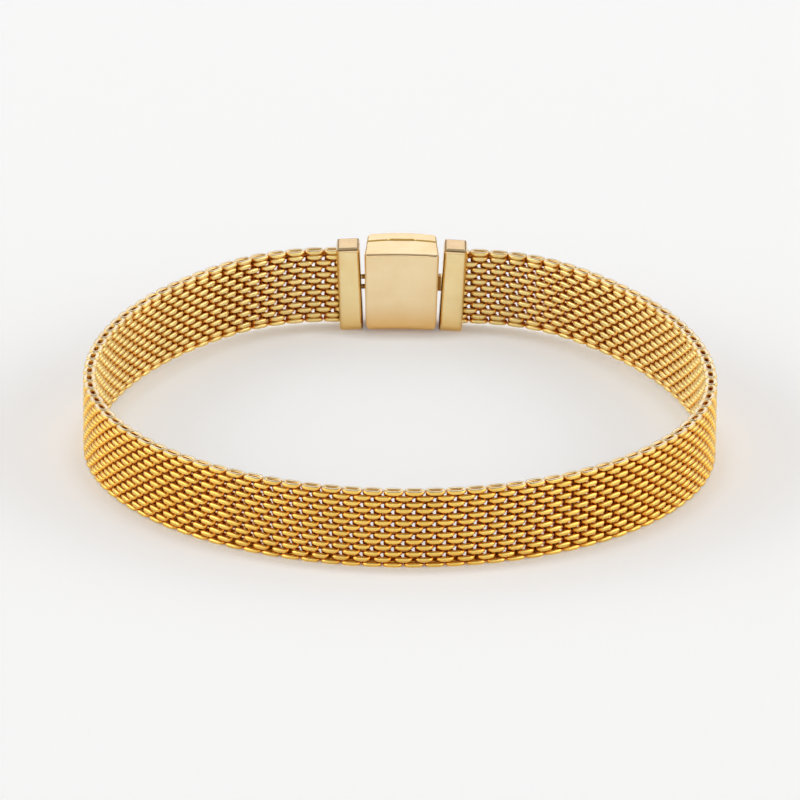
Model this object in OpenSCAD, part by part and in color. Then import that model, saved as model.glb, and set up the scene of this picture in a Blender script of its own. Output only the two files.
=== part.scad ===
// Woven mesh bracelet that closes with a box clasp, standing on its edge as it does on a table.
// Millimetres. X runs along the clasp, +Y points out of the back of the clasp, and +Z is up.
// Every piece is drawn in the ring frame, where the round front half has its centre on the Z axis
// and the end blocks stand on z = 0, and placed() then sets the whole bracelet down.

/* [Band] */
// Height of the woven band
band_h = 7.65; // [6.8:0.05:8]
// Height of the band's lower edge above the feet of the blocks
band_lift = 0.5; // [0.3:0.05:0.8]
// Thickness of the woven band
band_t = 1.2; // [1:0.1:1.4]
// Radius of the round front half, at the middle of the band's thickness
front_r = 30.2; // [28:0.1:33]
// Radius of the long arc at each side
side_r = 42; // [40:0.5:46]
// Degrees that each side arc turns
side_turn = 47; // [43:1:50]
// Rounding of the band's long edges
band_edge = 0.4; // [0.1:0.05:0.45]

/* [End blocks] */
// Width of an end block along the band
block_w = 2.35; // [2.1:0.05:2.8]
// Depth of an end block, from the wrist outwards
block_d = 3.4; // [2.8:0.1:3.6]
// Height of an end block
block_h = 8.8; // [8.6:0.1:9.4]
// Rounding of the blocks' edges
block_edge = 0.45; // [0.2:0.05:0.6]
// Degrees that each block leans, its foot towards the clasp
block_lean = 3.2; // [0:0.2:3.6]
// Length of band that each block grips
band_seat = 0.9; // [0.6:0.1:1.1]
// Space between an end block and the clasp
neck_gap = 0.38; // [0.3:0.02:0.6]

/* [Clasp] */
// Width of the clasp at its wrist side, halfway up
clasp_w = 7.3; // [7:0.1:7.8]
// Depth of the clasp at its middle
clasp_d = 6.4; // [6:0.1:6.6]
// Height of the clasp
clasp_h = 8.1; // [8:0.1:8.3]
// Distance that the clasp's middle stands outside the middle of the band
clasp_out = 1.05; // [0.8:0.05:1.2]
// Degrees that each side of the clasp turns in towards the outside
clasp_draft = 2.7; // [1:0.1:3.5]
// Degrees that each side of the clasp leans out towards the top
clasp_flare = 1.6; // [0:0.1:2.5]
// Radius of the hollow wrist face
wrist_r = 25; // [22:1:32]
// Radius of the crowned outer face
crown_r = 11; // [10:0.5:14]
// Rounding of the upright outer corners
crown_corner = 1.4; // [0.6:0.1:1.6]
// Rounding of the upright corners at the wrist side
wrist_corner = 0.3; // [0.1:0.05:0.5]
// Rounding of the clasp's edges
clasp_edge = 0.25; // [0.1:0.05:0.3]
// Rounding of the two lower corners, seen from the front
foot_corner = 0.75; // [0.5:0.05:0.9]
// Thickness of the clasp's walls
wall = 0.9; // [0.8:0.05:1]
// Depth of the inner shell at its middle
base_d = 4.2; // [3.8:0.1:4.4]

/* [Lid and hinge] */
// Space between the lid and the inner shell
seam = 0.1; // [0.08:0.02:0.14]
// Radius of the hinge's barrel
barrel_r = 0.65; // [0.6:0.05:0.7]
// Radius of the hinge pin
pin_r = 0.28; // [0.24:0.02:0.32]
// Length of the lid's knuckle
knuckle_len = 3.2; // [2.8:0.1:3.6]
// Length of the fingernail groove on top
groove_len = 3; // [2.6:0.1:3.8]
// Radius of the fingernail groove
groove_r = 0.4; // [0.35:0.05:0.6]

/* [Links] */
// Height of the link loop and of the bar's neck
link_h = 1.56; // [1.4:0.02:1.7]
// Thickness of the link loop's wire
link_wire = 0.5; // [0.38:0.02:0.54]
// Distance of both links outside the middle of the band
link_out = 0.8; // [0.7:0.05:0.9]
// Height of the crossbar that the clasp holds
bar_h = 4.4; // [3.6:0.1:4.8]
// Width and depth of the crossbar
bar_w = 1; // [0.8:0.05:1.1]

/* [Hidden] */
$fn = 64;
// Sizes that only keep cuts clear of the faces they cut
past = 1;
far = 40;
// Fits: a gripped seat, a part that slides past another, and the pin in the base and in the lid
seat_gap = 0.04;
slide_gap = 0.12;
press_gap = 0.01;
pin_gap = 0.04;
// Straight band left bare beside each block
bare_len = 0.1;

// Where the blocks and the clasp lie along X
block_x = clasp_w / 2 + neck_gap + block_w / 2;
straight_x = block_x + block_w / 2 + bare_len;

// The band's arcs, from the round front to the straight piece behind the blocks
back_r = (front_r - side_r * (1 - cos(side_turn)) - straight_x) / cos(side_turn);
side_cx = front_r - side_r;
back_cx = side_cx + (side_r - back_r) * cos(side_turn);
back_cy = (side_r - back_r) * sin(side_turn);
back_y = back_cy + back_r;
// How much the side arcs and the straight ends are thinner on every face than the arcs they join
joint_thin = 0.01;

// Heights in the ring frame
mid_z = block_h / 2;
band_mid_z = band_lift + band_h / 2;
clasp_z0 = mid_z - clasp_h / 2;
clasp_z1 = mid_z + clasp_h / 2;
cavity_z0 = clasp_z0 + wall;
cavity_z1 = clasp_z1 - wall;

// Depths in the ring frame
clasp_y0 = back_y + clasp_out - clasp_d / 2;
clasp_y1 = clasp_y0 + clasp_d;
split_y = clasp_y0 + base_d;
rivet_seat = 0.2;
floor_y = clasp_y0 + wall + rivet_seat;
link_y = back_y + link_out;

// The hinge, in the lower outer edge. Its barrel lies a little inside the outer face and its ends
// a little inside the clasp's sides.
barrel_in = 0.02;
barrel_end = 0.2;
hinge_y = clasp_y1 - barrel_r - barrel_in;
hinge_z = clasp_z0 + barrel_r;
ledge_z = hinge_z - barrel_in;
lid_z0 = ledge_z + slide_gap;
knuckle_gap = 0.08;
barrel_len = clasp_w - 2 * clasp_d * tan(clasp_draft) - 2 * barrel_end;

// The clasp's inside
cavity_w = clasp_w - 2 * wall - seam;
cavity_corner = 0.4;
recess_d = 1.1;
tongue_w = 2.2;
tongue_t = 0.45;
tongue_reach = 0.5;
tongue_root = 0.1;
slot_h = link_h + 2 * slide_gap;
post_r = 0.2;
post_in = 0.75;
post_x = -cavity_w / 2 + post_in;
bar_x = cavity_w / 2 - slide_gap - bar_w / 2;

// How the bracelet stands: on the feet of its blocks and on the front of the band
foot_in = block_edge;
lean_drop = (block_h / 2 - foot_in) * cos(block_lean) + (block_w / 2 - foot_in) * sin(block_lean)
    + foot_in - block_h / 2;
foot_y = back_y - block_d / 2 + foot_in;
rest_tilt = atan((band_lift + lean_drop) / (foot_y + front_r + band_t / 2));
band_back = (band_lift + band_h) * sin(rest_tilt);
mid_y = (clasp_y1 - front_r - band_t / 2 - band_back) / 2;

// A rectangle with round corners, in the plane of the drawing
module rounded_rect(w, h, r) {
    square([w - 2 * r, h], center = true);
    square([w, h - 2 * r], center = true);
    for (sx = [-1, 1], sy = [-1, 1])
        translate([sx * (w / 2 - r), sy * (h / 2 - r)])
            circle(r);
}

// Draws a flat shape upright, its x along Y and its y along Z, and gives it a length along X
module along_x(len) {
    rotate([90, 0, 90])
        translate([0, 0, -len / 2])
            linear_extrude(len)
                children();
}

// Draws a flat shape upright, its x along X and its y along Z, and gives it a length along Y
module along_y(len) {
    rotate([90, 0, 0])
        translate([0, 0, -len / 2])
            linear_extrude(len)
                children();
}

// A cylinder along X, centred on the origin
module rod_x(r, len) {
    rotate([0, 90, 0])
        cylinder(r = r, h = len, center = true);
}

// A box whose twelve edges are rounded, centred on the origin
module rounded_box(w, d, h, r) {
    intersection() {
        translate([0, 0, -h / 2])
            linear_extrude(h)
                rounded_rect(w, d, r);
        along_y(d)
            rounded_rect(w, h, r);
        along_x(w)
            rounded_rect(d, h, r);
    }
}

// Tips the ring frame so that the front of the band touches the table too, and centres it
module placed() {
    translate([0, -mid_y, lean_drop])
        translate([0, foot_y, 0])
            rotate([rest_tilt, 0, 0])
                translate([0, -foot_y, 0])
                    children();
}

// The band's section, with its middle on the origin, less a little all round
module band_section(less = 0) {
    rounded_rect(band_t - 2 * less, band_h - 2 * less, band_edge);
}

// One arc of the band round the point [cx, cy], from one angle to another
module band_arc(cx, cy, r, from, to, less = 0) {
    translate([cx, cy, band_mid_z])
        rotate([0, 0, from])
            rotate_extrude(angle = to - from, $fn = 256)
                translate([r, 0])
                    band_section(less);
}

// The woven band as one strip: the round front, two long side arcs, two short back arcs, and the
// straight ends that the blocks grip
module mesh_band() {
    run_in = 0.2;
    seat_len = bare_len + band_seat;
    color("#d2a54a")
        placed() {
            band_arc(0, 0, front_r, 179, 361);
            for (side = [0, 1])
                mirror([side, 0, 0]) {
                    translate([side_cx, 0, 0])
                        rotate([0, 0, side_turn]) {
                            mirror([0, 1, 0])
                                band_arc(0, 0, side_r, 0, side_turn, joint_thin);
                            band_arc(side_r - back_r, 0, back_r, 0, 90 - side_turn);
                        }
                    translate([straight_x + (run_in - seat_len) / 2, back_y, band_mid_z])
                        along_x(seat_len + run_in)
                            band_section(joint_thin);
                }
        }
}

// One end block at its place, side = -1 on the left and 1 on the right, with the seat for the band
module block_body(side) {
    difference() {
        translate([side * block_x, back_y, mid_z])
            rotate([0, side * block_lean, 0])
                rounded_box(block_w, block_d, block_h, block_edge);
        translate([side * (block_x + block_w / 2 - band_seat + past), back_y, band_mid_z])
            along_x(2 * past + 2 * seat_gap)
                rounded_rect(band_t + 2 * seat_gap, band_h + 2 * seat_gap, band_edge);
    }
}

// The link loop: two wires that leave the left block and meet in a half ring inside the clasp
module link_loop() {
    ring_r = (link_h - link_wire) / 2;
    root_x = -block_x + block_w / 4;
    translate([0, link_y, mid_z]) {
        for (up = [-1, 1])
            translate([(root_x + post_x) / 2, 0, up * ring_r])
                rod_x(link_wire / 2, post_x - root_x);
        translate([post_x, 0, 0])
            rotate([90, 0, 0])
                rotate([0, 0, -90])
                    rotate_extrude(angle = 180)
                        translate([ring_r, 0])
                            circle(link_wire / 2);
    }
}

// The left end block with its link loop, soldered into one piece
module end_block_left() {
    color("#e4c486")
        placed() {
            block_body(-1);
            link_loop();
        }
}

// The right end block with the neck and crossbar that the clasp closes over
module end_block_right() {
    neck_d = 0.8;
    neck_len = block_x - bar_x;
    bar_edge = 0.2;
    color("#e4c486")
        placed() {
            block_body(1);
            translate([(block_x + bar_x) / 2, link_y, mid_z])
                cube([neck_len, neck_d, link_h], center = true);
            translate([bar_x, link_y, mid_z])
                rounded_box(bar_w, bar_w, bar_h, bar_edge);
        }
}

// A disc whose top and bottom edges are rounded, standing on z = 0
module rounded_disc(r, h, edge) {
    rotate_extrude($fn = 256)
        intersection() {
            translate([0, h / 2])
                rounded_rect(2 * r, h, edge);
            square([r + past, h]);
        }
}

// The right side of the clasp: everything to the left of one flared and drafted wall, with its
// upper and lower edges rounded
module clasp_flank() {
    lean = clasp_h / 2 * tan(clasp_flare);
    foot = [-lean, clasp_z0];
    head = [lean, clasp_z1];
    translate([clasp_w / 2, clasp_y0, 0])
        rotate([0, 0, clasp_draft])
            along_y(far)
                difference() {
                    polygon([[-far, clasp_z0], foot, head, [-far, clasp_z1]]);
                    corner_cut(foot, 180, 90 - clasp_flare, foot_corner);
                    corner_cut(head, 180, 270 - clasp_flare, clasp_edge);
                }
}

// What rounding takes off a corner whose two sides leave it in the directions a and b
module corner_cut(corner, a, b, r) {
    half = abs(a - b) / 2;
    mid = (a + b) / 2;
    centre = corner + r / sin(half) * [cos(mid), sin(mid)];
    touch_a = corner + r / tan(half) * [cos(a), sin(a)];
    touch_b = corner + r / tan(half) * [cos(b), sin(b)];
    difference() {
        polygon([centre, 2 * touch_a - centre, 2 * corner - centre, 2 * touch_b - centre]);
        translate(centre)
            circle(r);
    }
}

// The whole clasp without its seam, its hinge or its inside
module clasp_form() {
    intersection() {
        clasp_flank();
        mirror([1, 0, 0])
            clasp_flank();
        // The crowned outer face
        translate([0, clasp_y1 - crown_r, clasp_z0])
            rounded_disc(crown_r, clasp_h, clasp_edge);
        // The hollow wrist face
        translate([0, clasp_y0 - wrist_r, clasp_z0])
            rotate_extrude($fn = 256)
                translate([wrist_r + far / 2, clasp_h / 2])
                    rounded_rect(far, clasp_h, clasp_edge);
        // The upright corners
        difference() {
            translate([-far / 2, 0, 0])
                cube([far, 2 * far, far]);
            for (side = [0, 1])
                mirror([side, 0, 0]) {
                    upright_corner_cut(crown_corner, crown_r, clasp_y1 - crown_r, 1);
                    upright_corner_cut(wrist_corner, wrist_r, clasp_y0 - wrist_r, -1);
                }
        }
    }
}

// What rounding takes off an upright corner on the right, where the side meets a face of radius
// face_r. Its circle of radius r touches both, and it leans with the side. For the crowned face
// out = 1, and for the hollow one out = -1.
module upright_corner_cut(r, face_r, face_cy, out) {
    reach = clasp_w / 2 * cos(clasp_draft) - (face_cy - clasp_y0) * sin(clasp_draft) - r;
    apart = face_r - out * r;
    along = sqrt(apart * apart - reach * reach);
    wide = 3 * r;
    translate([0, face_cy, mid_z])
        rotate([0, 0, clasp_draft])
            rotate([0, clasp_flare, 0])
                translate([reach, along, -clasp_h])
                    linear_extrude(2 * clasp_h)
                        difference() {
                            polygon([
                                [0, 0],
                                [wide, 0],
                                [wide, out * wide],
                                wide * out / apart * [reach, along],
                            ]);
                            circle(r);
                        }
}

// Everything on the wrist side of the curved seam, up to a surface that lies off from its middle
module inside_of_seam(off) {
    r = crown_r;
    translate([0, split_y - r, 0])
        cylinder(r = r + off, h = clasp_z1 + past, $fn = 256);
}

// The groove that breaks the sharp edges of the seam on top and at both ends
module seam_groove() {
    width = 0.34;
    translate([0, split_y - crown_r, clasp_z1])
        rotate_extrude($fn = 256)
            translate([crown_r, 0])
                rotate(45)
                    square(width, center = true);
}

// The scoop in the middle of the top seam, for a fingernail
module nail_groove() {
    straight = groove_len - 2 * groove_r;
    above = 0.5 * groove_r;
    translate([0, split_y, clasp_z1 + above]) {
        rod_x(groove_r, straight);
        for (side = [-1, 1])
            translate([side * straight / 2, 0, 0])
                sphere(groove_r);
    }
}

// The inner shell: the hollow box, the slots for both links, the rivet that the loop turns on, and
// the ledge with the two outer knuckles of the hinge
module clasp_base() {
    color("#e4c486")
        placed() {
            difference() {
                intersection() {
                    clasp_form();
                    union() {
                        inside_of_seam(-seam / 2);
                        translate([-far / 2, clasp_y0, clasp_z0])
                            cube([far, hinge_y - clasp_y0, ledge_z - clasp_z0]);
                    }
                }
                translate([0, floor_y + far / 2, (cavity_z0 + cavity_z1) / 2])
                    intersection() {
                        along_y(far)
                            rounded_rect(cavity_w, cavity_z1 - cavity_z0, cavity_corner);
                        translate([-far / 2, -far, cavity_z0 - mid_z])
                            cube([far, 2 * far, cavity_z1 - cavity_z0]);
                    }
                translate([0, link_y - bar_w / 2 - slide_gap + far / 2, mid_z])
                    cube([clasp_w + past, far, slot_h], center = true);
                seam_groove();
                nail_groove();
                lid_sweep(knuckle_len + 2 * knuckle_gap);
                pin_hole(pin_r + press_gap);
            }
            for (side = [-1, 1])
                base_knuckle(side);
            link_rivet();
        }
}

// The room that the lid's knuckle turns in
module lid_sweep(len) {
    translate([0, hinge_y, hinge_z])
        rod_x(barrel_r + slide_gap, len);
}

// A hole along the hinge
module pin_hole(r) {
    translate([0, hinge_y, hinge_z])
        rod_x(r, far);
}

// One outer knuckle of the hinge
module base_knuckle(side) {
    inner = knuckle_len / 2 + knuckle_gap;
    outer = barrel_len / 2;
    difference() {
        translate([side * (inner + outer) / 2, hinge_y, hinge_z])
            rod_x(barrel_r, outer - inner);
        pin_hole(pin_r + press_gap);
    }
}

// The rivet that the link loop turns on, with a head that keeps the loop on
module link_rivet() {
    head_t = 0.25;
    head_r = 2 * post_r;
    sunk = 0.1;
    loop_top = link_y + link_wire / 2 + slide_gap;
    translate([post_x, 0, mid_z]) {
        translate([0, (floor_y + loop_top) / 2, 0])
            rotate([90, 0, 0])
                cylinder(r = post_r, h = loop_top - floor_y + 2 * sunk, center = true);
        translate([0, loop_top + head_t / 2, 0])
            rotate([90, 0, 0])
                cylinder(r = head_r, h = head_t, center = true);
    }
}

// The outer shell: a shallow lid with the middle knuckle and the tongue that snaps under the top
module clasp_lid() {
    web_in = 0.2;
    color("#e9cd92")
        placed() {
            difference() {
                union() {
                    difference() {
                        intersection() {
                            clasp_form();
                            translate([-far / 2, clasp_y0, lid_z0])
                                cube([far, far, far]);
                        }
                        inside_of_seam(seam / 2);
                        lid_recess();
                        lid_sweep(far);
                        translate([-far / 2, hinge_y, 0])
                            cube([far, far, hinge_z + barrel_r + slide_gap]);
                        seam_groove();
                        nail_groove();
                    }
                    translate([0, hinge_y, hinge_z])
                        rod_x(barrel_r, knuckle_len);
                    // The web from the knuckle up to the lid
                    translate([-knuckle_len / 2, hinge_y, hinge_z + barrel_r / 2])
                        cube([knuckle_len, clasp_y1 - hinge_y - web_in, barrel_r]);
                }
                pin_hole(pin_r + pin_gap);
            }
            lid_tongue();
        }
}

// The hollow of the lid
module lid_recess() {
    low = lid_z0 + wall;
    translate([0, split_y + recess_d - far / 2, (low + cavity_z1) / 2])
        along_y(far)
            rounded_rect(cavity_w, cavity_z1 - low, cavity_corner);
}

// The tongue behind the lid's top edge
module lid_tongue() {
    tongue_z1 = cavity_z1 - slide_gap - tongue_root;
    root_y = split_y + recess_d + tongue_root;
    translate([0, (split_y - tongue_reach + root_y) / 2, tongue_z1 - tongue_t / 2])
        cube([tongue_w, root_y - split_y + tongue_reach, tongue_t], center = true);
}

// The pin through all three knuckles
module hinge_pin() {
    color("#c99a45")
        placed()
            translate([0, hinge_y, hinge_z])
                rod_x(pin_r, barrel_len - 0.1);
}

mesh_band();
end_block_left();
end_block_right();
clasp_base();
clasp_lid();
hinge_pin();
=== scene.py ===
"""Woven mesh bracelet with a box clasp, standing on its edge on a pale table."""

import math

import bpy
import numpy as np
from mathutils import Euler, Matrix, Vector

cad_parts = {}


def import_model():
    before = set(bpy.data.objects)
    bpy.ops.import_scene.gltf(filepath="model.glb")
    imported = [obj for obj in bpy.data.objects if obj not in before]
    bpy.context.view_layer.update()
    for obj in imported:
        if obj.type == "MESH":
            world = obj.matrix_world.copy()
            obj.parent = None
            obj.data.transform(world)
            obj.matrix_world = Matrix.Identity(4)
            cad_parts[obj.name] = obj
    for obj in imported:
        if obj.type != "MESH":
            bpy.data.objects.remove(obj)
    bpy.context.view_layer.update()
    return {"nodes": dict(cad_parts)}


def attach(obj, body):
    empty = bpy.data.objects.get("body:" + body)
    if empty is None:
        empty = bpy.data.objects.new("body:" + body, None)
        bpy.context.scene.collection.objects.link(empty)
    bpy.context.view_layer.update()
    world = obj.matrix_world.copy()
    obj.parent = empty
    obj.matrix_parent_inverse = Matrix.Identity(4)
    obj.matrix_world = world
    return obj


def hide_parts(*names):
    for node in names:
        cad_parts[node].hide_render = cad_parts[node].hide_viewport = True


# Sizes of the bracelet are in millimetres, and MM turns them into Blender's metres.
MM = 0.001

# The band, the blocks and the clasp, as the CAD has them
BAND_H = 7.65
BAND_LIFT = 0.5
BAND_T = 1.2
FRONT_R = 30.2
SIDE_R = 42.0
SIDE_TURN = math.radians(47)
BLOCK_W = 2.35
BLOCK_D = 3.4
BLOCK_H = 8.8
BLOCK_EDGE = 0.45
BLOCK_LEAN = math.radians(3.2)
NECK_GAP = 0.38
BARE_LEN = 0.1
BAND_SEAT = 0.9
SEAT_ROOM = 0.03
CLASP_W = 7.3
CLASP_D = 6.4
CLASP_OUT = 1.05

# The middle line of the band: a half circle in front, and then at each side a wide arc, a tight
# arc at the back and a short straight stretch into the block
BLOCK_INNER_X = CLASP_W / 2 + NECK_GAP
STRAIGHT_X = BLOCK_INNER_X + BLOCK_W + BARE_LEN
BACK_TURN = math.pi / 2 - SIDE_TURN
BACK_R = (FRONT_R - SIDE_R * (1 - math.cos(SIDE_TURN)) - STRAIGHT_X) / math.cos(SIDE_TURN)
SIDE_CX = FRONT_R - SIDE_R
BACK_CX = SIDE_CX + (SIDE_R - BACK_R) * math.cos(SIDE_TURN)
BACK_CY = (SIDE_R - BACK_R) * math.sin(SIDE_TURN)
FRONT_RUN = FRONT_R * math.pi / 2
SIDE_RUN = FRONT_RUN + SIDE_R * SIDE_TURN
BACK_RUN = SIDE_RUN + BACK_R * BACK_TURN

# How the ring is set down on the front of the band and the feet of the blocks
BACK_Y = BACK_CY + BACK_R
LEAN_DROP = (
    (BLOCK_H / 2 - BLOCK_EDGE) * math.cos(BLOCK_LEAN)
    + (BLOCK_W / 2 - BLOCK_EDGE) * math.sin(BLOCK_LEAN)
    + BLOCK_EDGE
    - BLOCK_H / 2
)
FOOT_Y = BACK_Y - BLOCK_D / 2 + BLOCK_EDGE
RING_TILT = math.atan((BAND_LIFT + LEAN_DROP) / (FOOT_Y + FRONT_R + BAND_T / 2))
CLASP_Y = BACK_Y + CLASP_OUT + CLASP_D / 2
MID_Y = (CLASP_Y - FRONT_R - BAND_T / 2 - (BAND_LIFT + BAND_H) * math.sin(RING_TILT)) / 2

# The weave: upright spiral columns of round wire, each screwed into its neighbours. The outermost
# rows lie EDGE_ROW inside the edges of the band, and a strand reaches STRAND_HALF to each side.
COLUMNS = 190
TURNS = 6
EDGE_ROW = 0.17
PITCH = (BAND_H - 2 * EDGE_ROW) / TURNS
ROW_SQUEEZE = 0.03
STRAND_HALF = 0.71
STRAND_DEPTH = 0.41
LOOP_POWER = 0.7
CLIMB_SPAN = math.radians(32)
RINGS_BUNCH = 0.2

# The ends of the columns: the full loops at the edges of the band, and the open columns' tails
LOOP_HALF = 0.78
LOOP_ZONE = 0.25
LOOP_REACH = math.radians(300)
TAIL_REACH = math.radians(100)

# The wire, and the angles of the points round its section, closer together on its outer side
WIRE_R = 0.235
FACE_WIDENS = 0.2
BEND_THINS = 0.13
TIP_RINGS = 3
TIP_ROUNDS = 0.75
RINGS_PER_TURN = 24
SECTION = (0, 25, 50, 80, 115, 150, 180, 210, 245, 280, 310, 335)

# The four lengths of mesh, the height of their rims, which are painted a paler gold as painted
# highlight, and the seed of the columns' tones
LENGTHS = ("weave_back_left", "weave_front_left", "weave_front_right", "weave_back_right")
RIM_BAND = 0.05
TONE_SEED = 7

# The finishes: the polished and the handled gold, the roughness of both, and the height and size
# of the marks
FINISHES = {
    "mesh_wire": {
        "clean": (0.97, 0.67, 0.17, 1),
        "smeared": (0.94, 0.61, 0.13, 1),
        "gloss": 0.24,
        "dull": 0.36,
        "relief": 0.25,
        "smear_scale": 260.0,
    },
    "block_metal": {
        "clean": (0.96, 0.78, 0.43, 1),
        "smeared": (0.92, 0.70, 0.34, 1),
        "gloss": 0.16,
        "dull": 0.27,
        "relief": 0.2,
        "smear_scale": 260.0,
    },
    "clasp_metal": {
        "clean": (0.96, 0.76, 0.46, 1),
        "smeared": (0.91, 0.68, 0.36, 1),
        "gloss": 0.15,
        "dull": 0.25,
        "relief": 0.2,
        "smear_scale": 190.0,
    },
    "pin_metal": {
        "clean": (0.86, 0.62, 0.30, 1),
        "smeared": (0.78, 0.54, 0.24, 1),
        "gloss": 0.24,
        "dull": 0.4,
        "relief": 0.3,
        "smear_scale": 260.0,
    },
}

# The marks: which part of the noise shows as smears and hairlines, and what a hairline does
MARK_HEIGHT = 0.02
SMEARS = (0.35, 0.65)
HAIRLINES = (0.56, 0.66)
HAIRLINE_SLANT = (0.2, 0.5, 0.35)
HAIRLINE_STRETCH = (0.12, 1.0, 3.2)
HAIRLINE_DULLS = 0.35
HAIRLINE_DEPTH = -0.6
PIT_SCALE = 6000

# Where a wire's painted shade and painted highlight fall, by depth from its pressed faces (0) to the
# middle of the band (1), and by nearness to the wrist, from that middle (0) to the wrist side (1).
# The flanks and the depths get a darker painted shade, the wrist side and the rims a paler painted
# highlight. The wrist side's span also has the share of the paler gold at both places.
FLANK_DEPTHS = (0.02, 0.3)
FLANK_PAINTED_SHADE = (0.88, 0.43, 0.06, 1)
DEEP_DEPTHS = (0.3, 0.85)
CREVICE_PAINTED_SHADE = (0.45, 0.13, 0.02, 1)
# Painted highlight: the wrist side of the weave is painted a paler gold
WRIST_SIDE_HIGHLIGHT = (0.5, 1.0, 0, 0.85)
WRIST_SIDE_PAINTED_HIGHLIGHT = (1.0, 0.79, 0.34, 1)
# Painted highlight: the rims of the band are painted a pale gold
RIM_PAINTED_HIGHLIGHT = (1.0, 0.86, 0.60, 1)
COLUMN_TONES = (0.93, 1.03)

# Where the blocks' and the clasp's gold changes. Their feet and the blocks' heads are painted a
# darker gold as painted shade, full at the first height and gone at the second. The necks are
# painted dark brown as painted shade, and the lip, where the lid's own surface looks forwards, is
# painted bright yellow as a painted reflection.
BLOCK_FOOT = (-0.5, 3.0)
BLOCK_FOOT_PAINTED_SHADE = (0.88, 0.58, 0.20, 1)
BLOCK_HEAD = (8.7, 8.3)
BLOCK_HEAD_PAINTED_SHADE = (0.80, 0.60, 0.34, 1)
CLASP_FOOT = (-0.5, 3.6)
CLASP_FOOT_PAINTED_SHADE = (0.80, 0.46, 0.14, 1)
# Painted shade: the necks and links are painted dark brown
NECK_FADE = 0.1
NECK_PAINTED_SHADE = (0.30, 0.13, 0.03, 1)
# Painted reflection: the lid's lip is painted a bright yellow
LIP_FACING = (-0.65, -0.25, 1, 0)
LIP_PAINTED_GLOW = (1.0, 0.70, 0.18, 1)
LIP_ROUGHNESS = 0.5

# The table: half its width in metres, how bright it glows by itself, as lit acrylic does, and its
# finish
TABLE_HALF = 3.0
TABLE_GLOW = 0.12
TABLE_TONES = (0.885, 0.9)
TABLE_ROUGHNESS = 0.85
TABLE_SHEEN = 0.15
GRAIN_SCALE = 900

# The studio, as zones of directions. Each has the two places along its axis where it changes, and
# its brightness before and after. Dim zones are warm.
WHITE = (1, 1, 1, 1)
WALLS_BY_BACK = (0.2, 0.75, 1.0, 0.2)
WALLS_BY_UP = (0.42, 0.72, 1.0, 0.1)
SCREENS_BY_SIDE = (0.55, 0.85, 0.0, 1.2)
OVERHEAD_BY_UP = (0.86, 0.97, 0.0, 0.4)
WARM_BY_BRIGHTNESS = (0.1, 0.5, 1, 0)
WARM_WHITE = (1.0, 0.62, 0.34, 1)

# The softboxes, in metres and watts
SOFTBOXES = {
    "softbox_over": {
        "place": (0, 0.55, 2.94),
        "wide": 1.6,
        "high": 0.58,
        "power": 23.2,
        "colour": (0.85, 0.935, 1),
        "mirrored": False,
    },
    "softbox_behind": {
        "place": (0, 2.5, 1.65),
        "wide": 3.0,
        "high": 2.3,
        "power": 21.0,
        "colour": (1, 1, 1),
        "mirrored": True,
    },
}

# The camera, as the photograph was taken. It is aimed a little above the middle of the ring.
CAMERA_FAR = 873.0
CAMERA_ABOVE_RING = math.radians(21.4)
CAMERA_ROLL = math.radians(0.69)
CAMERA_LIFT = math.radians(0.090528)
LENS = 404.2
SENSOR = 36
RING_MIDDLE = (0.0, -1.06, BLOCK_H / 2)


def set_down(points):
    """Takes points of the ring frame, in millimetres, to where the bracelet stands, in metres."""
    c, s = math.cos(RING_TILT), math.sin(RING_TILT)
    y = points[:, 1] - FOOT_Y
    z = points[:, 2]
    out = np.empty_like(points)
    out[:, 0] = points[:, 0]
    out[:, 1] = y * c - z * s + FOOT_Y - MID_Y
    out[:, 2] = y * s + z * c + LEAN_DROP
    return out * MM


def bend_round(flat):
    """Bends flat points round the ring. Their columns are: along the band from the middle of the
    front, outwards from the middle of its thickness, and up from its lower edge."""
    along, out, up = flat[:, 0], flat[:, 1], flat[:, 2]
    run = np.abs(along)
    in_front, at_side, at_back = run < FRONT_RUN, run < SIDE_RUN, run < BACK_RUN
    turn = np.select(
        [in_front, at_side, at_back],
        [
            -math.pi / 2 + run / FRONT_R,
            (run - FRONT_RUN) / SIDE_R,
            SIDE_TURN + (run - SIDE_RUN) / BACK_R,
        ],
        math.pi / 2,
    )
    radius = np.select([in_front, at_side], [FRONT_R, SIDE_R], BACK_R)
    cx = np.select([in_front, at_side], [0.0, SIDE_CX], BACK_CX)
    cy = np.select([at_side], [0.0], BACK_CY)
    past = np.maximum(run - BACK_RUN, 0.0)
    x = cx + (radius + out) * np.cos(turn) - past
    y = cy + (radius + out) * np.sin(turn)
    z = BAND_LIFT + up
    return np.column_stack([np.where(along < 0, -x, x), y, z])


def squeeze_rows(up):
    """Draws the rows nearest to both edges of the band closer together, and the others apart."""
    half = BAND_H / 2 - EDGE_ROW
    place = (up - BAND_H / 2) / half
    return BAND_H / 2 + half * (place * (1 + ROW_SQUEEZE) - ROW_SQUEEZE * place**7)


def squared(wave):
    """A sine or cosine wave with flatter tops, so that a circle of two becomes a squarer loop."""
    return np.sign(wave) * np.abs(wave) ** LOOP_POWER


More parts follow.
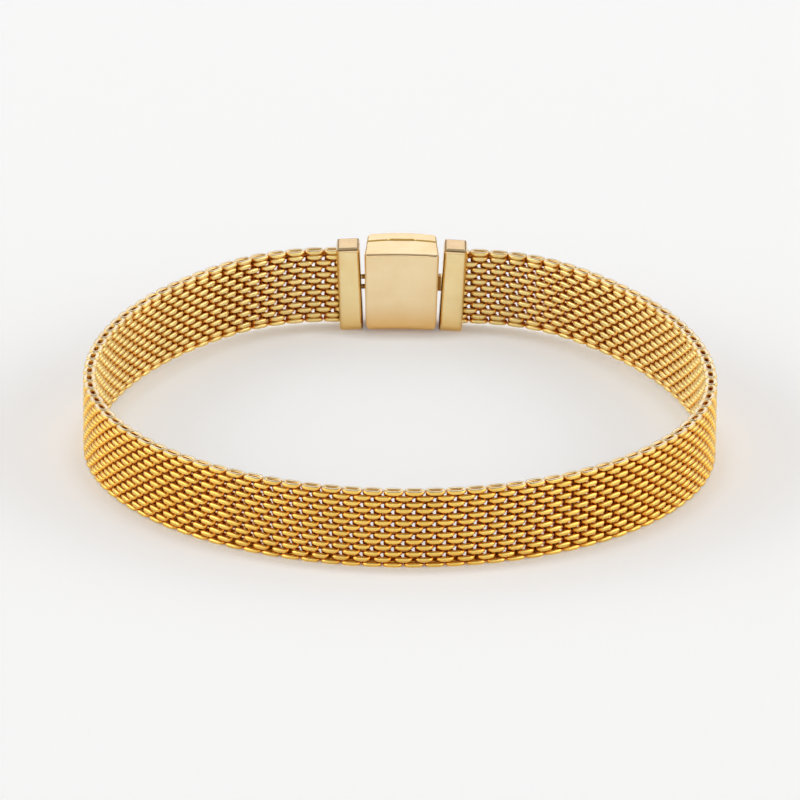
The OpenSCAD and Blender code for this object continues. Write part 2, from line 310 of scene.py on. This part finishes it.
def spiral_line(first, last, closed):
    """The middle line of one spiral of wire in flat coordinates, and its turn at each point. Its
    outer strands lie from the row `first` to the row `last`, and its inner strands half a row
    higher. A closed column ends in a full loop at both edges of the band, and an open one in a
    short tail inside its neighbours' loops."""
    low, high = EDGE_ROW + first * PITCH, EDGE_ROW + last * PITCH
    turns = last - first
    reach = LOOP_REACH if closed else TAIL_REACH
    count = round((turns + 2 * reach / (2 * math.pi)) * RINGS_PER_TURN) + 1
    phi = np.linspace(-turns * 2 * math.pi - reach, reach, count)
    # Rings lie closer together round the bends, where the wire climbs from one face to the other
    phi += RINGS_BUNCH * np.sin(2 * phi)
    bend = np.round(phi / math.pi - 0.5) + 0.5
    past_bend = phi - bend * math.pi
    climbed = 0.5 * np.sin(math.pi / 2 * np.clip(past_bend / CLIMB_SPAN, -1, 1))
    up = high + PITCH * (bend + climbed) / 2
    half = np.full(count, STRAND_HALF)
    if closed:
        up = np.clip(up, low, high)
        from_end = np.minimum(up - low, high - up) / PITCH
        half += (LOOP_HALF - STRAND_HALF) * np.clip(1 - from_end / LOOP_ZONE, 0, 1)
    line = [half * squared(np.sin(phi)), STRAND_DEPTH * squared(np.cos(phi)), squeeze_rows(up)]
    return np.column_stack(line), phi


def draw_wire(line, phi):
    """The wire round a spiral's middle line, as points, four-sided faces and the two tips."""
    count = len(line)
    ahead = np.gradient(line, axis=0)
    ahead /= np.linalg.norm(ahead, axis=1)[:, None]
    away = np.column_stack([ahead[:, 1], -ahead[:, 0], np.zeros(count)])
    away *= np.sign(np.sum(away * line * [1, 1, 0], axis=1))[:, None]
    away /= np.linalg.norm(away, axis=1)[:, None]
    across = np.cross(ahead, away)
    # Rolling widens the strands where it presses them, and the wire is thinner round its bends
    across *= 1 + FACE_WIDENS * np.cos(phi)[:, None] ** 2
    radius = WIRE_R * (1 - BEND_THINS * np.sin(phi) ** 2)
    from_tip = np.minimum(np.arange(count), np.arange(count)[::-1])
    radius *= np.sqrt(1 - TIP_ROUNDS * np.clip(1 - from_tip / TIP_RINGS, 0, 1) ** 2)
    around = np.radians(SECTION)
    tube = line[:, None] + radius[:, None, None] * (
        np.cos(around)[None, :, None] * away[:, None]
        + np.sin(around)[None, :, None] * across[:, None]
    )
    tube = tube.reshape(-1, 3)
    # Rolling presses both faces of the band flat, and its edges are polished flat
    tube[:, 1] = np.clip(tube[:, 1], -BAND_T / 2, BAND_T / 2)
    tube[:, 2] = np.clip(tube[:, 2], 0, BAND_H)
    # bend_round turns the flat wires over, so their faces are wound inwards here
    sides = len(SECTION)
    ring = np.arange(count - 1)[:, None] * sides
    side = np.arange(sides)[None, :]
    beside = (side + 1) % sides
    quads = np.stack([ring + side, ring + sides + side, ring + sides + beside, ring + beside], -1)
    tips = np.stack([np.arange(sides), (count - 1) * sides + np.arange(sides)[::-1]])
    return tube, quads.reshape(-1, 4), tips


def wire_places(tube, tone):
    """For each point of a wire, the values from 0 to 1 that its gold depends on: how deep it lies
    between the faces, how near to the band's edges and to the wrist, which place its painted shade
    and painted highlight, and its column's tone."""
    half_t = BAND_T / 2
    from_edge = BAND_H / 2 - np.abs(tube[:, 2] - BAND_H / 2)
    return {
        "depth": np.minimum(half_t - np.abs(tube[:, 1]), from_edge) / half_t,
        "rim": np.clip(1 - from_edge / RIM_BAND, 0, 1),
        "wrist_side": np.clip(-tube[:, 1] / half_t, 0, 1),
        "wire_tone": np.full(len(tube), tone),
    }


def mesh_piece(name, points, quads, tips, places):
    """Makes a piece of a length's points and faces, with its values stored on the points."""
    corners = np.concatenate([quads.ravel(), tips.ravel()])
    tip_starts = quads.size + np.arange(len(tips)) * len(SECTION)
    starts = np.concatenate([np.arange(len(quads)) * 4, tip_starts])
    mesh = bpy.data.meshes.new(name)
    mesh.vertices.add(len(points))
    mesh.vertices.foreach_set("co", points.astype(np.float32).ravel())
    mesh.loops.add(len(corners))
    mesh.loops.foreach_set("vertex_index", corners.astype(np.int32))
    mesh.polygons.add(len(starts))
    mesh.polygons.foreach_set("loop_start", starts.astype(np.int32))
    mesh.update(calc_edges=True)
    mesh.validate()
    mesh.shade_smooth()
    for key in places[0]:
        layer = mesh.attributes.new(key, "FLOAT", "POINT")
        values = np.concatenate([column[key] for column in places])
        layer.data.foreach_set("value", values.astype(np.float32))
    piece = bpy.data.objects.new(name, mesh)
    bpy.context.scene.collection.objects.link(piece)
    return piece


def weave_length(name, first, last):
    """A length of the band, from one column to another, as a single woven piece."""
    tall = draw_wire(*spiral_line(0, TURNS, True))
    short = draw_wire(*spiral_line(0.5, TURNS - 0.5, False))
    bare = 2 * (BACK_RUN + BARE_LEN)
    step = bare / COLUMNS
    gripped = bare / 2 + BAND_SEAT - SEAT_ROOM
    tones = np.random.default_rng(TONE_SEED).uniform(0, 1, COLUMNS + 2)
    points, quads, tips, places = [], [], [], []
    start = 0
    for column in range(first, last):
        tube, faces, ends = tall if column % 2 else short
        moved = tube + np.array([(column - (COLUMNS + 1) / 2) * step, 0, 0])
        moved[:, 0] = np.clip(moved[:, 0], -gripped, gripped)
        points.append(moved)
        places.append(wire_places(tube, tones[column]))
        quads.append(faces + start)
        tips.append(ends + start)
        start += len(tube)
    points = set_down(bend_round(np.concatenate(points)))
    return mesh_piece(name, points, np.concatenate(quads), np.concatenate(tips), places)


def add(tree, kind, inputs, **settings):
    """Adds a node. Each input takes a plain value, or the socket of another node that feeds it."""
    node = tree.nodes.new(kind)
    for key, value in settings.items():
        setattr(node, key, value)
    for label, value in inputs.items():
        if isinstance(value, bpy.types.NodeSocket):
            tree.links.new(value, node.inputs[label])
        else:
            node.inputs[label].default_value = value
    return node


def coordinate(tree, kind, axis):
    """One axis of the places, normals or directions of a surface or the world."""
    place = add(tree, "ShaderNodeTexCoord", {}).outputs[kind]
    return add(tree, "ShaderNodeSeparateXYZ", {"Vector": place}).outputs[axis]


def stored(tree, key):
    """A value that is stored on the points of a mesh."""
    return add(tree, "ShaderNodeAttribute", {}, attribute_name=key).outputs["Fac"]


def work_out(tree, operation, *terms, clamp=False):
    """Does one sum with up to three terms."""
    node = add(
        tree, "ShaderNodeMath", dict(enumerate(terms)), operation=operation, use_clamp=clamp
    )
    return node.outputs["Value"]


def spread(tree, value, low, high, to_low, to_high, soft=True):
    """Maps a value from one range to another, with a soft start and end unless soft is False."""
    inputs = {
        "Value": value,
        "From Min": low,
        "From Max": high,
        "To Min": to_low,
        "To Max": to_high,
    }
    way = "SMOOTHSTEP" if soft else "LINEAR"
    return add(tree, "ShaderNodeMapRange", inputs, interpolation_type=way).outputs["Result"]


def tint_where(tree, colour, mask, tint):
    """Turns a colour into a tint where a mask is white."""
    inputs = {"Factor": mask, "A": colour, "B": tint}
    return add(tree, "ShaderNodeMix", inputs, data_type="RGBA").outputs["Result"]


def noise(tree, place, scale, detail, roughness=0.5):
    """Cloudy noise from 0 to 1, at places of the surface."""
    inputs = {"Vector": place, "Scale": scale, "Detail": detail, "Roughness": roughness}
    return add(tree, "ShaderNodeTexNoise", inputs).outputs["Fac"]


def open_group(name, colours, numbers, outputs):
    """Starts a shader node group with named sockets. Returns it, its inputs and its result."""
    group = bpy.data.node_groups.new(name, "ShaderNodeTree")
    face = group.interface
    for label in colours:
        face.new_socket(label, in_out="INPUT", socket_type="NodeSocketColor")
    for label, usual in numbers.items():
        socket = face.new_socket(label, in_out="INPUT", socket_type="NodeSocketFloat")
        socket.default_value = usual
    for label, kind in outputs.items():
        face.new_socket(label, in_out="OUTPUT", socket_type=kind)
    given = group.nodes.new("NodeGroupInput").outputs
    result = group.nodes.new("NodeGroupOutput").inputs
    return group, given, result


def handling_marks_group():
    """Fine wear on polished metal: soft cloudy smears, hairline scratches and tiny pits."""
    group, given, result = open_group(
        "handling_marks",
        colours=("Clean", "Smeared"),
        numbers={"Smear Scale": 260.0, "Hairline Scale": 900.0, "Gloss": 0.14, "Dull": 0.3},
        outputs={
            "Color": "NodeSocketColor",
            "Roughness": "NodeSocketFloat",
            "Height": "NodeSocketFloat",
        },
    )
    place = add(group, "ShaderNodeTexCoord", {}).outputs["Object"]
    clouds = noise(group, place, given["Smear Scale"], detail=4, roughness=0.6)
    smears = spread(group, clouds, *SMEARS, 0, 1, soft=False)
    drawn_out = {"Vector": place, "Rotation": HAIRLINE_SLANT, "Scale": HAIRLINE_STRETCH}
    stretched = add(group, "ShaderNodeMapping", drawn_out).outputs["Vector"]
    strands = noise(group, stretched, given["Hairline Scale"], detail=6)
    hairlines = spread(group, strands, *HAIRLINES, 0, 1, soft=False)
    pits = noise(group, place, PIT_SCALE, detail=2)
    colour = tint_where(group, given["Clean"], smears, given["Smeared"])
    wear = work_out(group, "MULTIPLY_ADD", hairlines, HAIRLINE_DULLS, smears, clamp=True)
    rough = spread(group, wear, 0, 1, given["Gloss"], given["Dull"], soft=False)
    height = work_out(group, "MULTIPLY_ADD", hairlines, HAIRLINE_DEPTH, pits)
    group.links.new(colour, result["Color"])
    group.links.new(rough, result["Roughness"])
    group.links.new(height, result["Height"])
    return group


def painted_end_shade_group():
    """Painted shade: gold that grows darker towards one end of an upright piece, its foot or its
    head.
    """
    group, given, result = open_group(
        "painted_end_shade",
        colours=("Color", "Shade Colour"),
        numbers={"End": 0.0, "Fades At": 0.004},
        outputs={"Color": "NodeSocketColor"},
    )
    height = coordinate(group, "Object", "Z")
    fade = spread(group, height, given["End"], given["Fades At"], 1, 0)
    colour = tint_where(group, given["Color"], fade, given["Shade Colour"])
    group.links.new(colour, result["Color"])
    return group


def gold_metal(name, marks, finish):
    """Polished gold-tone metal with its own share of the handling marks."""
    metal = bpy.data.materials.new(name)
    metal.use_nodes = True
    tree = metal.node_tree
    shader = tree.nodes["Principled BSDF"]
    shader.inputs["Metallic"].default_value = 1.0
    worn = {
        "Smear Scale": finish["smear_scale"],
        "Clean": finish["clean"],
        "Smeared": finish["smeared"],
        "Gloss": finish["gloss"],
        "Dull": finish["dull"],
    }
    wear = add(tree, "ShaderNodeGroup", worn, node_tree=marks).outputs
    relief = {
        "Strength": finish["relief"],
        "Distance": MARK_HEIGHT * MM,
        "Height": wear["Height"],
    }
    bump = add(tree, "ShaderNodeBump", relief)
    tree.links.new(wear["Color"], shader.inputs["Base Color"])
    tree.links.new(wear["Roughness"], shader.inputs["Roughness"])
    tree.links.new(bump.outputs["Normal"], shader.inputs["Normal"])
    return metal


def fed_input(metal, label):
    """An input of a metal's shader, and the socket that feeds it so far."""
    wanted = metal.node_tree.nodes["Principled BSDF"].inputs[label]
    return wanted, wanted.links[0].from_socket


def paint_end_shade(metal, painted_end_shade, deep, heights):
    """Paints shade on an upright piece's metal: a darker gold at its foot or its head."""
    tree = metal.node_tree
    wanted, colour = fed_input(metal, "Base Color")
    end, fades_at = heights
    toned = {"Color": colour, "Shade Colour": deep, "End": end * MM, "Fades At": fades_at * MM}
    tone = add(tree, "ShaderNodeGroup", toned, node_tree=painted_end_shade)
    tree.links.new(tone.outputs["Color"], wanted)


def paint_neck_shade(metal):
    """Past the inner faces of the blocks, on the necks and links, the gold is painted dark brown as
    painted shade in the gap.
    """
    tree = metal.node_tree
    wanted, colour = fed_input(metal, "Base Color")
    aside = work_out(tree, "ABSOLUTE", coordinate(tree, "Object", "X"))
    neck_end = BLOCK_INNER_X * MM
    neck = spread(tree, aside, neck_end - NECK_FADE * MM, neck_end, 1, 0)
    tree.links.new(tint_where(tree, colour, neck, NECK_PAINTED_SHADE), wanted)


def satin_lip_with_painted_glow(metal):
    """The lid's faces that look forwards, its lip at the seam and its inside, are satin where no
    polishing wheel reaches them, and painted a bright yellow as a painted reflection of the gold
    around them."""
    tree = metal.node_tree
    wanted_colour, colour = fed_input(metal, "Base Color")
    wanted_rough, rough = fed_input(metal, "Roughness")
    lip = spread(tree, coordinate(tree, "Normal", "Y"), *LIP_FACING)
    satin = add(tree, "ShaderNodeMix", {"Factor": lip, "A": rough, "B": LIP_ROUGHNESS})
    tree.links.new(tint_where(tree, colour, lip, LIP_PAINTED_GLOW), wanted_colour)
    tree.links.new(satin.outputs["Result"], wanted_rough)


def wire_metal(marks):
    """The wire of the weave. Its rolled faces are pale and bright. Its sides get a deeper gold and
    the depths between the strands a dark red, both painted shade. The wrist side and the band's rims
    get a paler gold, painted highlight. Each column was drawn from a slightly different wire."""
    metal = gold_metal("mesh_wire", marks, FINISHES["mesh_wire"])
    tree = metal.node_tree
    wanted, colour = fed_input(metal, "Base Color")
    depth, wrist_side = stored(tree, "depth"), stored(tree, "wrist_side")
    # Painted shade on the flanks and in the depths, painted highlight on the wrist side and the rims
    for mask, gold in (
        (spread(tree, depth, *FLANK_DEPTHS, 0, 1), FLANK_PAINTED_SHADE),
        (spread(tree, depth, *DEEP_DEPTHS, 0, 1), CREVICE_PAINTED_SHADE),
        (spread(tree, wrist_side, *WRIST_SIDE_HIGHLIGHT), WRIST_SIDE_PAINTED_HIGHLIGHT),
        (stored(tree, "rim"), RIM_PAINTED_HIGHLIGHT),
    ):
        colour = tint_where(tree, colour, mask, gold)
    drawn = spread(tree, stored(tree, "wire_tone"), 0, 1, *COLUMN_TONES, soft=False)
    varied = add(
        tree, "ShaderNodeVectorMath", {"Vector": colour, "Scale": drawn}, operation="SCALE"
    )
    tree.links.new(varied.outputs["Vector"], wanted)
    return metal


def dress(piece, material):
    """Gives a piece its material."""
    if not piece.material_slots:
        piece.data.materials.append(material)
    for slot in piece.material_slots:
        slot.material = material


def dress_cad_pieces(parts, marks):
    """Gives the blocks, the two shells of the clasp and the pin their metals."""
    painted_end_shade = painted_end_shade_group()
    block = gold_metal("block_metal", marks, FINISHES["block_metal"])
    # Painted shade: a darker gold at the feet and heads of the blocks, and dark brown on their necks
    paint_end_shade(block, painted_end_shade, BLOCK_FOOT_PAINTED_SHADE, BLOCK_FOOT)
    paint_end_shade(block, painted_end_shade, BLOCK_HEAD_PAINTED_SHADE, BLOCK_HEAD)
    paint_neck_shade(block)
    for name in ("end_block_left", "end_block_right"):
        dress(parts[name], block)
    for name in ("clasp_base", "clasp_lid"):
        shell = gold_metal(name + "_metal", marks, FINISHES["clasp_metal"])
        # Painted shade: a darker gold at the foot of each shell of the clasp
        paint_end_shade(shell, painted_end_shade, CLASP_FOOT_PAINTED_SHADE, CLASP_FOOT)
        if name == "clasp_lid":
            # The lid's lip gets a satin finish and a bright yellow painted reflection
            satin_lip_with_painted_glow(shell)
        dress(parts[name], shell)
    dress(parts["hinge_pin"], gold_metal("pin_metal", marks, FINISHES["pin_metal"]))


def weave_band(wire):
    """Weaves the four lengths of mesh that stand for the band's solid."""
    ends = [round((COLUMNS + 2) * k / len(LENGTHS)) for k in range(len(LENGTHS) + 1)]
    for name, first, last in zip(LENGTHS, ends, ends[1:]):
        piece = weave_length(name, first, last)
        dress(piece, wire)
        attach(piece, "bracelet")
        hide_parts("mesh_band")


def lay_table():
    """A plain pale table top that is lit a little from below, and reaches past the frame."""
    mesh = bpy.data.meshes.new("table_top")
    half = TABLE_HALF
    mesh.from_pydata(
        [(-half, -half, 0), (half, -half, 0), (half, half, 0), (-half, half, 0)],
        [],
        [(0, 1, 2, 3)],
    )
    top = bpy.data.objects.new("table_top", mesh)
    bpy.context.scene.collection.objects.link(top)
    paper = bpy.data.materials.new("table_paper")
    paper.use_nodes = True
    tree = paper.node_tree
    shader = tree.nodes["Principled BSDF"]
    shader.inputs["Roughness"].default_value = TABLE_ROUGHNESS
    shader.inputs["Specular IOR Level"].default_value = TABLE_SHEEN
    shader.inputs["Emission Color"].default_value = WHITE
    shader.inputs["Emission Strength"].default_value = TABLE_GLOW
    place = add(tree, "ShaderNodeTexCoord", {}).outputs["Object"]
    grain = noise(tree, place, GRAIN_SCALE, detail=2)
    tones = spread(tree, grain, 0, 1, *TABLE_TONES, soft=False)
    tree.links.new(tones, shader.inputs["Base Color"])
    dress(top, paper)


def hang_softbox(name, place, wide, high, power, colour, mirrored):
    """A softbox that points at the bracelet. One that isn't mirrored lights without a reflection."""
    light = bpy.data.lights.new(name, "AREA")
    light.shape = "RECTANGLE"
    light.size = wide
    light.size_y = high
    light.energy = power
    light.color = colour
    lamp = bpy.data.objects.new(name, light)
    lamp.location = place
    lamp.rotation_euler = (-Vector(place)).to_track_quat("-Z", "Y").to_euler()
    lamp.visible_glossy = mirrored
    bpy.context.scene.collection.objects.link(lamp)


def light_studio():
    """A studio with pale walls low down at the sides and in front, bright side screens, a dim warm
    ceiling with a faint glow straight overhead, and two softboxes. The one above gives the table
    its light and the bracelet its short contact shadow, and the one behind brightens every face
    that looks up."""
    world = bpy.data.worlds.new("studio")
    bpy.context.scene.world = world
    world.use_nodes = True
    tree = world.node_tree
    sky = tree.nodes["Background"]
    side, back, up = (coordinate(tree, "Generated", axis) for axis in "XYZ")
    walls = work_out(
        tree, "MULTIPLY", spread(tree, back, *WALLS_BY_BACK), spread(tree, up, *WALLS_BY_UP)
    )
    screens = spread(tree, work_out(tree, "ABSOLUTE", side), *SCREENS_BY_SIDE)
    overhead = spread(tree, up, *OVERHEAD_BY_UP)
    total = work_out(tree, "ADD", work_out(tree, "ADD", walls, screens), overhead)
    warm = spread(tree, total, *WARM_BY_BRIGHTNESS)
    tree.links.new(tint_where(tree, WHITE, warm, WARM_WHITE), sky.inputs["Color"])
    tree.links.new(total, sky.inputs["Strength"])
    for name, softbox in SOFTBOXES.items():
        hang_softbox(name, **softbox)


def place_camera():
    """Stands where the photograph was taken from."""
    lens = bpy.data.cameras.new("camera")
    lens.sensor_width = SENSOR
    lens.lens = LENS
    lens.clip_start = 0.01
    lens.clip_end = 20
    camera = bpy.data.objects.new("camera", lens)
    bpy.context.scene.collection.objects.link(camera)
    middle = Vector(set_down(np.array([RING_MIDDLE]))[0])
    rise = CAMERA_ABOVE_RING - RING_TILT
    back = Vector((0, -math.cos(rise), math.sin(rise)))
    camera.location = middle + back * CAMERA_FAR * MM
    facing = (-back).to_track_quat("-Z", "Y").to_matrix()
    lift = Euler((CAMERA_LIFT, 0, 0)).to_matrix()
    roll = Euler((0, 0, CAMERA_ROLL)).to_matrix()
    camera.rotation_euler = (facing @ lift @ roll).to_euler()
    bpy.context.scene.camera = camera


def main():
    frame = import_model()

    marks = handling_marks_group()
    dress_cad_pieces(frame["nodes"], marks)
    weave_band(wire_metal(marks))

    lay_table()
    light_studio()
    place_camera()
    bpy.context.scene.view_settings.view_transform = "Standard"


main()
